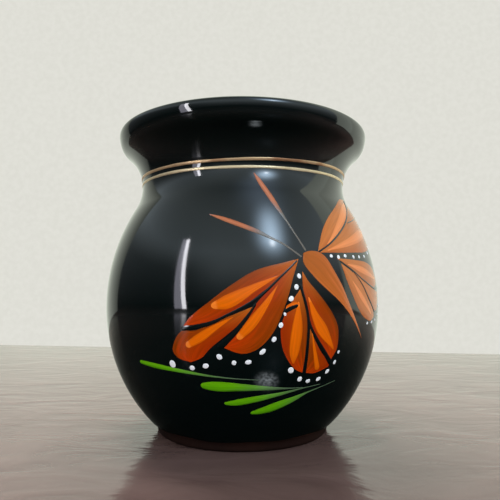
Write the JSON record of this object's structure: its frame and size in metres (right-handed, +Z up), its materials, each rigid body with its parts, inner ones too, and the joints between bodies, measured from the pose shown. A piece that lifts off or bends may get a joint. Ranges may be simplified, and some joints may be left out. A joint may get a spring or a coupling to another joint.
{
  "type": "clay mug",
  "caption": "Round-bellied clay mug with a drawn-in neck, a flared collar with a rounded lip, a strap handle, a glossy black coat outside, gold lines at the neck and a glazed clay inside.",
  "frame": {"origin": "centre of the face that the mug rests on, on the axis of the belly", "axes": "+Z up along the axis of the belly, +Y towards the handle, +X to the right seen from the side away from the handle"},
  "size_m": [0.096, 0.1219, 0.1052],
  "materials": {
    "terracotta": "fired red clay, under the coats",
    "bare_clay": "matte fired red clay, worn at the foot",
    "black_enamel": "high gloss black",
    "clear_glaze": "glossy clear glaze over red clay",
    "gold_line": "gold lustre line, brushed on",
    "orange_paint": "glossy brush paint",
    "white_paint": "glossy brush paint",
    "green_paint": "glossy brush paint"
  },
  "bodies": {
    "root": {"belly_left_half": "terracotta", "belly_right_half": "terracotta", "neck_collar": "terracotta", "foot_ring": "bare_clay", "handle": "terracotta", "enamel_body": "black_enamel", "enamel_handle": "black_enamel", "glaze_liner": "clear_glaze", "gold_band_upper": "gold_line", "gold_band_lower": "gold_line"}
  },
  "joints": []
}
